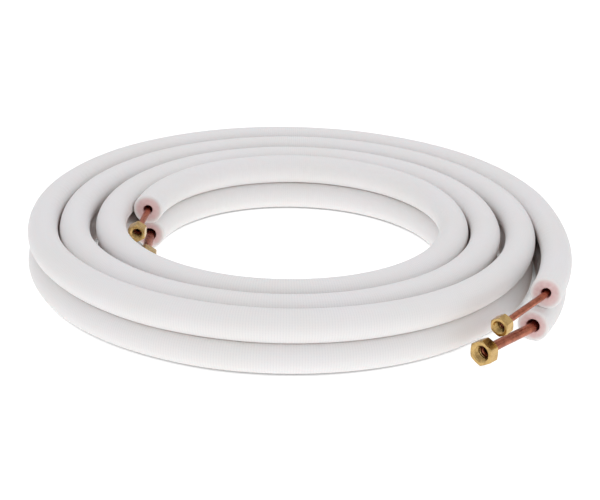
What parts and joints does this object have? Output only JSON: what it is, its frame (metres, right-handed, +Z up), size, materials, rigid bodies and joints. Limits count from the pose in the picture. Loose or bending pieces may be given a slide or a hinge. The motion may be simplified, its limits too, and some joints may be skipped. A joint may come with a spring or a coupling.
{
  "type": "mini split line set",
  "caption": "Pair of foam-insulated copper refrigerant lines, one above the other, wound into a flat coil with flared ends and turning brass flare nuts.",
  "frame": {"origin": "on the floor, under the middle of the whole object", "axes": "+Z up, out of the coil's plane; the open ends of the lines head towards -Y, the outer pair on the +X side and the inner pair on the -X side of the coil's middle"},
  "size_m": [0.5758, 0.5836, 0.0603],
  "materials": {
    "foam": "white embossed polyethylene foam, pinkish where it is cut",
    "copper": "drawn copper, satin",
    "brass": "machined brass, satin"
  },
  "bodies": {
    "coil": {"liquid_tube_length_1": "copper", "liquid_tube_length_2": "copper", "liquid_tube_length_3": "copper", "liquid_tube_length_4": "copper", "liquid_tube_length_5": "copper", "liquid_tube_length_6": "copper", "liquid_tube_length_7": "copper", "liquid_tube_length_8": "copper", "liquid_insulation_length_1": "foam", "liquid_insulation_length_2": "foam", "liquid_insulation_length_3": "foam", "liquid_insulation_length_4": "foam", "liquid_insulation_length_5": "foam", "liquid_insulation_length_6": "foam", "liquid_insulation_length_7": "foam", "liquid_insulation_length_8": "foam", "suction_tube_length_1": "copper", "suction_tube_length_2": "copper", "suction_tube_length_3": "copper", "suction_tube_length_4": "copper", "suction_tube_length_5": "copper", "suction_tube_length_6": "copper", "suction_tube_length_7": "copper", "suction_tube_length_8": "copper", "suction_insulation_length_1": "foam", "suction_insulation_length_2": "foam", "suction_insulation_length_3": "foam", "suction_insulation_length_4": "foam", "suction_insulation_length_5": "foam", "suction_insulation_length_6": "foam", "suction_insulation_length_7": "foam", "suction_insulation_length_8": "foam"},
    "liquid_nut_outer": {"liquid_nut_outer": "brass"},
    "liquid_nut_inner": {"liquid_nut_inner": "brass"},
    "suction_nut_outer": {"suction_nut_outer": "brass"},
    "suction_nut_inner": {"suction_nut_inner": "brass"}
  },
  "joints": [
    {"name": "liquid_outer_turn", "type": "hinge", "parent": "coil", "child": "liquid_nut_outer", "pos_m": [0.24826, -0.1662, 0.03673], "axis": [-0.2999, -0.9482, -0.1045], "continuous": true},
    {"name": "liquid_inner_turn", "type": "hinge", "parent": "coil", "child": "liquid_nut_inner", "pos_m": [-0.14863, -0.1004, 0.04051], "axis": [0.2631, -0.9616, -0.0785], "continuous": true},
    {"name": "suction_outer_turn", "type": "hinge", "parent": "coil", "child": "suction_nut_outer", "pos_m": [0.23674, -0.18115, 0.015], "axis": [-0.3305, -0.9438, 0], "continuous": true},
    {"name": "suction_inner_turn", "type": "hinge", "parent": "coil", "child": "suction_nut_inner", "pos_m": [-0.13789, -0.10234, 0.015], "axis": [0.3827, -0.9239, 0], "continuous": true}
  ]
}
